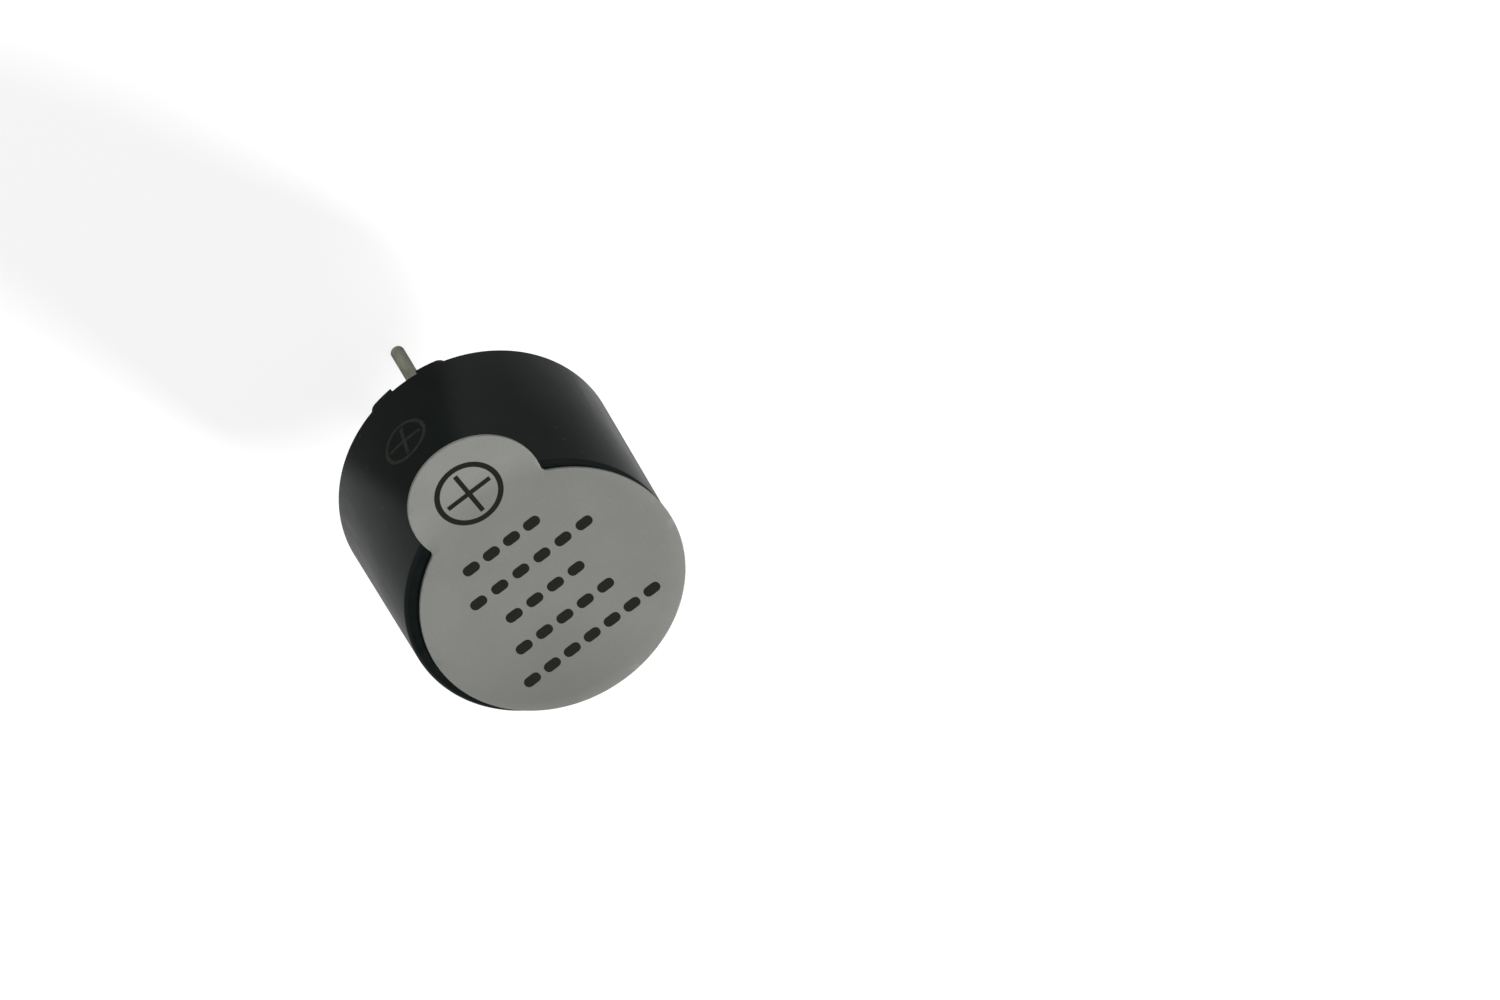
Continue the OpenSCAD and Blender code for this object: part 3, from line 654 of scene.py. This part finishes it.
sunk = ["board_tracks", "transistor_body", "transistor_leads", "resistor_body", "resistor_caps",
        "component_solder", "winding_solder", "positive_pin_solder", "negative_pin_solder"]
tools = [closed_copy(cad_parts[node]) for node in sunk] + [closed_copy(pin) for pin in pins]
tools += [prism("root", ring_part(root_in_r, root_out_r, *t), 0, root_top_z) for t in roots]
tidy_shading(combine(potting, tools, "DIFFERENCE"), 50)
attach(potting, "root")
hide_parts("potting")

# Wash seal
# Grey-white polyester film with a round pull tab, die-cut and stuck over the sound outlet by hand,
# a little off centre. It is printed in dark ink: a plus in a ring, and rows of plain dashes.
seal_r = 5.62
tab_r = 2.875
tab_reach = 5.76
fillet_r = 0.3
seal_turn = math.radians(5)
seal_x = -0.31
seal_y = -0.26
film_t = 0.105
film_edge = 0.02
film_wave_height = 0.003
film_waves = 0.3
tab_hangs_from = 5.9
tab_hang = 0.004
film_grid = 0.5
film_cuts = range(-12, 17)
grid_shift = 0.013


def film_lift(x, y):
    """How far the film stands off its flat seat: faint waves, and a tab that hangs a little"""
    wave = film_wave_height * (1 + noise.noise(Vector((x * film_waves, y * film_waves, 1.0))))
    over = max(0.0, math.hypot(x, y) - tab_hangs_from) if x > 0 else 0.0
    return wave - tab_hang * over ** 2


def lay_on_film(piece):
    """Cuts a flat piece into small squares and lifts it as the film lies"""
    work = bmesh.new()
    work.from_mesh(piece.data)
    for axis in (Vector((1, 0, 0)), Vector((0, 1, 0))):
        for i in film_cuts:
            cut = axis * (film_grid * i + grid_shift) * MM
            bmesh.ops.bisect_plane(work, geom=work.verts[:] + work.edges[:] + work.faces[:],
                                   plane_co=cut, plane_no=axis)
    work.to_mesh(piece.data)
    work.free()
    for v in piece.data.vertices:
        v.co.z += film_lift(v.co.x / MM, v.co.y / MM) * MM
    return piece


film, tree, shader, place = new_finish("grey_polyester_film", specular=0.25)
cloud = grain(tree, place, 2.5, 3.0)
haze = grain(tree, place, 0.12, 4.0)
streak = grain(tree, place, 0.06, 3.0, (1, 30, 1))
tone = sums(tree, "ADD", sums(tree, "MULTIPLY", cloud, 0.6), sums(tree, "MULTIPLY", haze, 0.4))
tone = spread(tree, tone, 0, 1, 0.38, 0.62)
flat_place = add(tree, "ShaderNodeVectorMath", {0: place, 1: (1, 1, 0)}, operation="MULTIPLY").outputs[0]
from_axis = add(tree, "ShaderNodeVectorMath", {0: flat_place}, operation="LENGTH").outputs["Value"]

# The film is lighter on the tab past the case's edge. Over the case a painted shade darkens it further
# towards one side, standing in for light that falls off across the seal.
painted_shade_centre = (-7, 3.5, 0)
painted_shade_grey = (0.158, 0.161, 0.149)
from_painted_shade = add(tree, "ShaderNodeVectorMath", {0: flat_place, 1: painted_shade_centre}, operation="DISTANCE")
# Painted shade: the film's grey darkens towards the point above and fades out 7 mm away
painted_shade = spread(tree, from_painted_shade.outputs["Value"], 1, 0, 1.5, 7)
over_case = blend(tree, tone, (0.2, 0.204, 0.186), (0.221, 0.225, 0.206))
over_case = blend(tree, painted_shade, over_case, painted_shade_grey)
past_case = blend(tree, tone, (0.243, 0.247, 0.228), (0.266, 0.27, 0.25))
past_edge = spread(tree, from_axis, 0, 1, 5.3, 6.5)
tree.links.new(blend(tree, past_edge, over_case, past_case), shader.inputs["Base Color"])
tree.links.new(spread(tree, streak, 0.38, 0.44), shader.inputs["Roughness"])
relief(tree, shader, (cloud, 0.006), (haze, 0.0004), (streak, 0.0002))

# Each neck fillet touches the disc and the tab, so its middle stands at a known reach from both
from_disc = seal_r + fillet_r
from_tab = tab_r + fillet_r
along = (from_disc ** 2 - from_tab ** 2 + tab_reach ** 2) / (2 * tab_reach)
aside = math.sqrt(from_disc ** 2 - along ** 2)
disc_turn = math.degrees(math.atan2(aside, along))
tab_turn = math.degrees(math.atan2(aside, along - tab_reach))
outline = arc(0, 0, seal_r, disc_turn, 360 - disc_turn, 160)
outline += arc(along, -aside, fillet_r, 180 - disc_turn, 180 - tab_turn, 10)[1:-1]
outline += arc(tab_reach, 0, tab_r, -tab_turn, tab_turn, 80)
outline += arc(along, aside, fillet_r, tab_turn - 180, disc_turn - 180, 10)[1:-1]
seal_place = Matrix.Translation((seal_x * MM, seal_y * MM, 0)) @ Matrix.Rotation(seal_turn, 4, "Z")
seal = prism("seal_film_sheet", outline, case_h, case_h + film_t, 0, film_edge)
seal.data.transform(seal_place)
seal.data.materials.append(film)
tidy_shading(lay_on_film(seal), 40)
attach(seal, "root")
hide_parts("seal_label")

full_ink = (0.0058, 0.0063, 0.0048)
thin_ink = (0.0105, 0.0112, 0.0088)
ink, tree, shader, place = new_finish("black_ink", specular=0.08)
coverage = grain(tree, place, 0.05, 4.0)
tree.links.new(blend(tree, spread(tree, coverage, 0, 1), full_ink, thin_ink), shader.inputs["Base Color"])
tree.links.new(spread(tree, coverage, 0.42, 0.6), shader.inputs["Roughness"])
relief(tree, shader, (coverage, 0.0008))
ink_sunk = 0.002
ink_t = 0.008
ink_z = case_h + film_t - ink_sunk
ink_top_z = ink_z + ink_t
plus_x = 6.19
plus_y = 0.1
hoop_r = 1.45
hoop_stroke = 0.23
arm_stroke = 0.2
arm = 1.05
hoop_ink = turn("plus_ring_ink", [
    (hoop_r - hoop_stroke, ink_z), (hoop_r, ink_z), (hoop_r, ink_top_z), (hoop_r - hoop_stroke, ink_top_z)],
    ink, 96)
half = arm_stroke / 2
quarter = [(half, half), (half, arm), (-half, arm)]
plus = quarter + [(-y, x) for x, y in quarter]
plus += [(-x, -y) for x, y in plus]
plus_ink = prism("plus_arms_ink", plus, ink_z, ink_top_z)
plus_ink.data.materials.append(ink)
plus_place = Matrix.Translation((plus_x * MM, plus_y * MM, 0))

# Rows of round-ended dashes, one instance on each point of a small mesh
dash_rounding = 0.45
printing, given = geometry_tree("Printed dashes", [
    ("Dash length", "NodeSocketFloat"), ("Dash width", "NodeSocketFloat"),
    ("Ink thickness", "NodeSocketFloat"), ("Direction", "NodeSocketFloat")])
frame_line = add(printing, "GeometryNodeCurvePrimitiveQuadrilateral", {
    "Width": given["Dash length"], "Height": given["Dash width"]})
round_line = add(printing, "GeometryNodeFilletCurve", {
    "Curve": frame_line.outputs[0], "Count": 5,
    "Radius": sums(printing, "MULTIPLY", given["Dash width"], dash_rounding)}, mode="POLY")
face = add(printing, "GeometryNodeFillCurve", {0: round_line.outputs[0]}, mode="NGONS")
raised = add(printing, "GeometryNodeExtrudeMesh", {
    "Mesh": face.outputs[0], "Offset Scale": given["Ink thickness"]})
under = add(printing, "GeometryNodeFlipFaces", {"Mesh": face.outputs[0]})
dash = add(printing, "GeometryNodeJoinGeometry", {0: raised.outputs["Mesh"]})
printing.links.new(under.outputs[0], dash.inputs[0])
turned_dash = add(printing, "ShaderNodeCombineXYZ", {"Z": given["Direction"]})
row_ink = add(printing, "GeometryNodeInstanceOnPoints", {
    "Points": given["Geometry"], "Instance": dash.outputs[0], "Rotation": turned_dash.outputs[0]})
close_tree(printing, row_ink.outputs[0], given)

row_x = 3.23
row_pitch = 1.53
dash_rows = [(4, 0.46, 3.8), (6, -0.03, 6.1), (4, 0.3, 3.9), (5, 0.32, 4.9), (7, -0.05, 6.85)]
dash_l = 0.75
dash_w = 0.49
points = []
for row, (count, middle, length) in enumerate(dash_rows):
    for i in range(count):
        y = middle + (length - dash_l) * (i / (count - 1) - 0.5)
        points.append(((row_x - row * row_pitch) * MM, y * MM, ink_z * MM))
mesh = bpy.data.meshes.new("dash_rows_ink")
mesh.from_pydata(points, [], [])
rows_ink = run_tree(keep("dash_rows_ink", mesh), printing, {
    "Dash length": dash_l * MM, "Dash width": dash_w * MM, "Ink thickness": ink_t * MM,
    "Direction": math.pi / 2, "Finish": ink})
for piece in (hoop_ink, plus_ink):
    piece.data.transform(plus_place)
for piece in (hoop_ink, plus_ink, rows_ink):
    piece.data.transform(seal_place)
    tidy_shading(lay_on_film(piece))
    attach(piece, "root")

# Floor, light and camera
# A pale floor under the longer pin's tip, with a patch of painted shade beside the case that the black case
# mirrors, a soft lamp from behind, a low fill and a pale sky. The camera looks down on the front face from
# the positive pin's side, rolled as a hand would hold it.
floor_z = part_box("positive_pin")[0].z
floor_half = 1.5
floor_grey = (0.33, 0.33, 0.33)
# Painted shade: a soft darker patch on the floor beside the case, for the black case to mirror
painted_floor_shade_grey = (0.18, 0.18, 0.18)
painted_floor_shade_middle = (4.5 * MM, -10 * MM, floor_z)
mesh = bpy.data.meshes.new("floor")
corners = [(-1, -1), (1, -1), (1, 1), (-1, 1)]
mesh.from_pydata([(x * floor_half, y * floor_half, floor_z) for x, y in corners], [], [(0, 1, 2, 3)])
floor = keep("floor", mesh)
paper = bpy.data.materials.new("pale_paper")
paper.use_nodes = True
tree = paper.node_tree
shader = tree.nodes["Principled BSDF"]
here = add(tree, "ShaderNodeTexCoord").outputs["Object"]
from_painted_floor_shade = add(tree, "ShaderNodeVectorMath", {0: here, 1: painted_floor_shade_middle}, operation="DISTANCE")
painted_floor_shade = spread(tree, from_painted_floor_shade.outputs["Value"], 1, 0, 3.5 * MM, 12 * MM)
tree.links.new(blend(tree, painted_floor_shade, floor_grey, painted_floor_shade_grey), shader.inputs["Base Color"])
shader.inputs["Roughness"].default_value = 0.9
shader.inputs["Specular IOR Level"].default_value = 0.1
shader.inputs["Emission Color"].default_value = (1, 1, 1, 1)

# The paper glows for the camera only, so it looks white while the black case mirrors a dim floor
seen = add(tree, "ShaderNodeLightPath").outputs["Is Camera Ray"]
# Over the patch of painted shade the glow is raised, so the camera sees the floor evenly white
evened = spread(tree, painted_floor_shade, 0.78, 0.94, 0, 1)
tree.links.new(sums(tree, "MULTIPLY", seen, evened), shader.inputs["Emission Strength"])
mesh.materials.append(paper)

sky = bpy.data.worlds.new("pale_sky")
sky.use_nodes = True
tree = sky.node_tree
background = tree.nodes["Background"]
background.inputs["Color"].default_value = (1, 1, 1, 1)
seen = add(tree, "ShaderNodeLightPath").outputs["Is Camera Ray"]

# A dark hood hangs where the flat front face mirrors the sky
hood = (-0.57, 0, 0.82)
outwards = add(tree, "ShaderNodeTexCoord").outputs["Generated"]
to_hood = add(tree, "ShaderNodeVectorMath", {0: outwards, 1: hood}, operation="DOT_PRODUCT").outputs["Value"]
glow = spread(tree, to_hood, 0.4, 0.12, 0.8, 0.95)
tree.links.new(sums(tree, "MAXIMUM", seen, glow), background.inputs["Strength"])
bpy.context.scene.world = sky


def shine(name, azimuth, elevation, power, softness):
    """A broad lamp far off, in the direction azimuth and elevation"""
    lamp = bpy.data.lights.new(name, "SUN")
    lamp.energy = power
    lamp.angle = math.radians(softness)
    piece = bpy.data.objects.new(name, lamp)
    piece.rotation_euler = (math.radians(90 - elevation), 0, math.radians(azimuth + 90))
    bpy.context.scene.collection.objects.link(piece)


shine("main_lamp", 202, 33, 3.46, 12)
shine("low_fill", 3, 8, 1.11, 40)

view_azimuth = math.radians(-0.203)
view_elevation = math.radians(55.461)
view_roll = math.radians(147.083)
view_centre = Vector((0, 0, 4.75 * MM))
view_offset = Vector((9.807 * MM, 1.258 * MM, 408.125 * MM))
turned = (Matrix.Rotation(view_azimuth + math.pi / 2, 4, "Z")
          @ Matrix.Rotation(math.pi / 2 - view_elevation, 4, "X") @ Matrix.Rotation(view_roll, 4, "Z"))
lens = bpy.data.cameras.new("camera")
lens.lens = 240
lens.sensor_width = 36
lens.clip_start = 0.01
camera = bpy.data.objects.new("camera", lens)
camera.matrix_world = Matrix.Translation(view_centre) @ turned @ Matrix.Translation(view_offset)
bpy.context.scene.collection.objects.link(camera)
bpy.context.scene.camera = camera
bpy.context.scene.view_settings.view_transform = "Standard"

bpy.context.view_layer.update()
